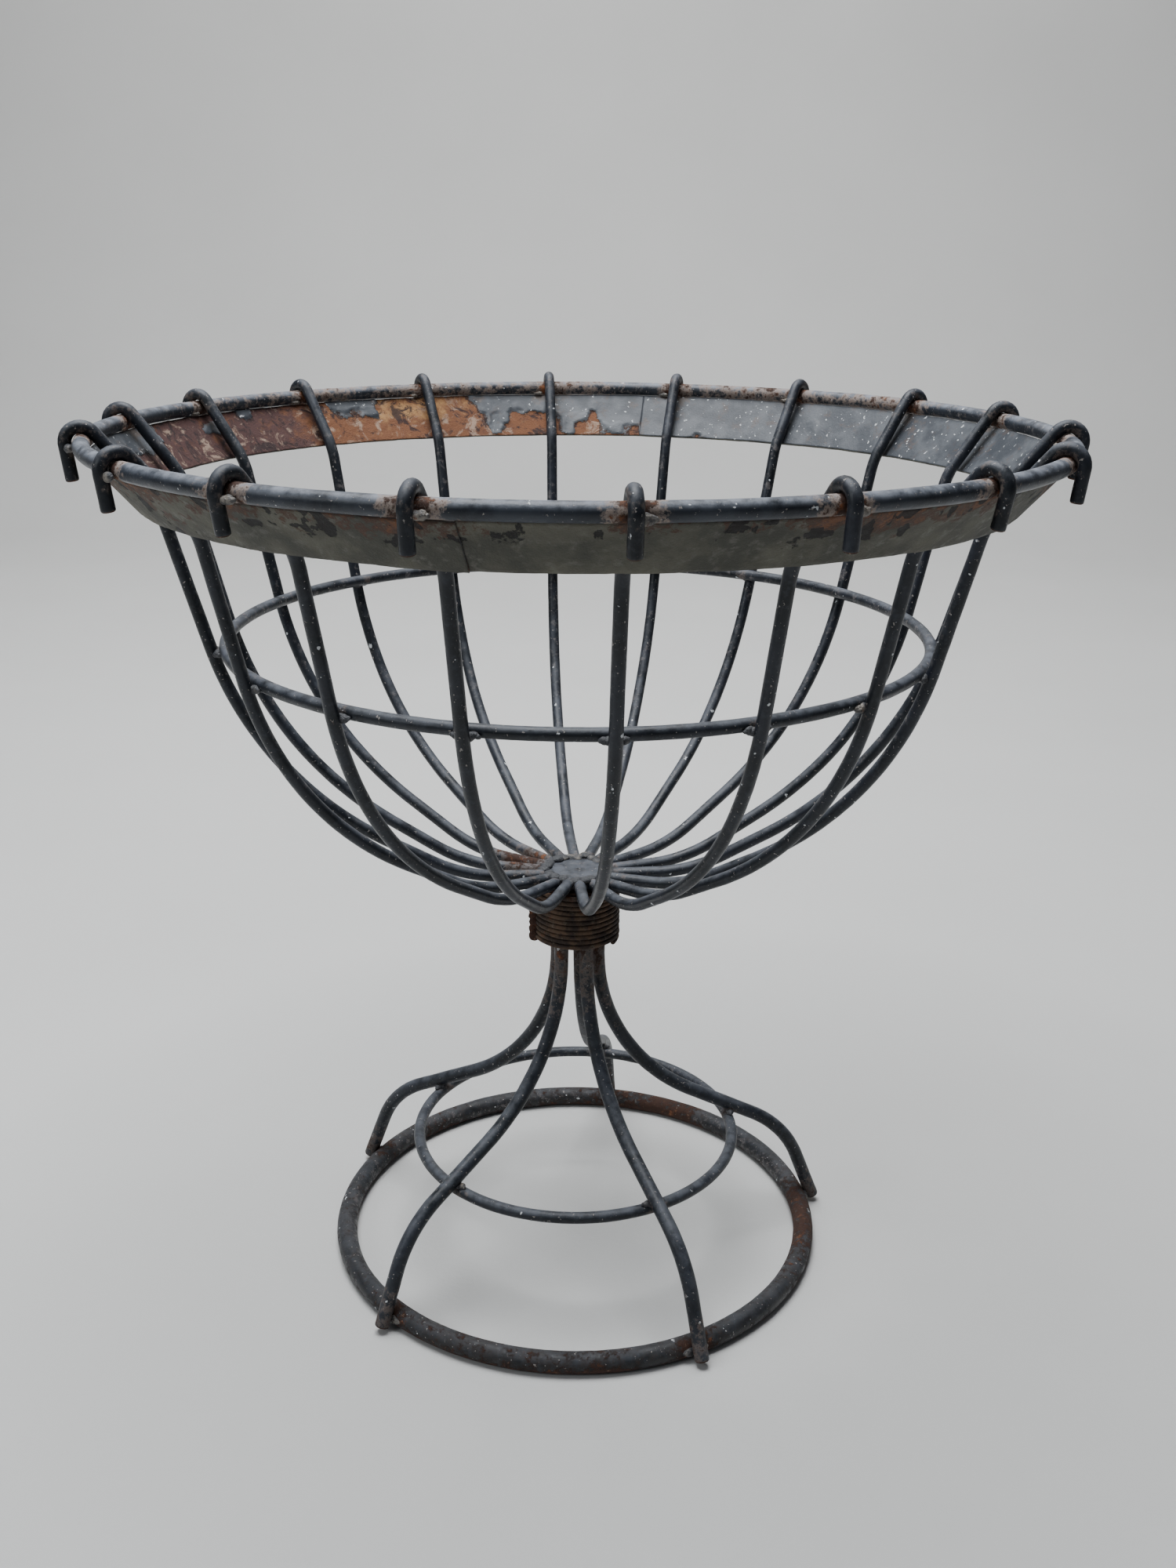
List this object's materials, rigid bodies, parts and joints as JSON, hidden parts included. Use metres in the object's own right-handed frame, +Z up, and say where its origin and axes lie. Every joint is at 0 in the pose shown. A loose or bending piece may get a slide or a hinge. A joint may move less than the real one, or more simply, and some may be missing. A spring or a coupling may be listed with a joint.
{
  "type": "fruit basket",
  "caption": "Open bowl of bent round iron rods hooked over a rim ring with a sheet band, on a pedestal of five splayed rods and a heavy base ring.",
  "frame": {"origin": "on the floor, at the centre of the base ring", "axes": "+Z up along the pedestal; +Y is the way the first rib faces away from, with rib_01 near -Y; the basket stands on the XY plane"},
  "size_m": [0.5085, 0.51, 0.4822],
  "materials": {
    "painted_rod": "worn satin blue-black paint with rust at the joints",
    "band_sheet": "flaking grey paint over orange-brown rust",
    "base_iron": "worn dark paint with brown rust on the outside",
    "rusty_wire": "dark brown rust",
    "rusty_iron": "brown rust",
    "weld_metal": "painted weld metal with rust bleeding through"
  },
  "bodies": {
    "root": {"rim_ring": "painted_rod", "rim_band_right": "band_sheet", "rim_band_left": "band_sheet", "rib_01": "painted_rod", "rib_02": "painted_rod", "rib_03": "painted_rod", "rib_04": "painted_rod", "rib_05": "painted_rod", "rib_06": "painted_rod", "rib_07": "painted_rod", "rib_08": "painted_rod", "rib_09": "painted_rod", "rib_10": "painted_rod", "rib_11": "painted_rod", "rib_12": "painted_rod", "rib_13": "painted_rod", "rib_14": "painted_rod", "rib_15": "painted_rod", "rib_16": "painted_rod", "rib_17": "painted_rod", "rib_18": "painted_rod", "mid_hoop": "painted_rod", "hub_disc": "painted_rod", "neck_sleeve": "rusty_iron", "binding_wire": "rusty_wire", "neck_weld": "rusty_iron", "leg_1": "painted_rod", "leg_2": "painted_rod", "leg_3": "painted_rod", "leg_4": "painted_rod", "leg_5": "painted_rod", "lower_hoop": "painted_rod", "base_ring": "base_iron", "rim_welds": "weld_metal", "band_welds": "weld_metal", "mid_hoop_welds": "weld_metal", "hub_weld": "weld_metal", "lower_hoop_welds": "weld_metal", "foot_welds": "weld_metal"}
  },
  "joints": []
}
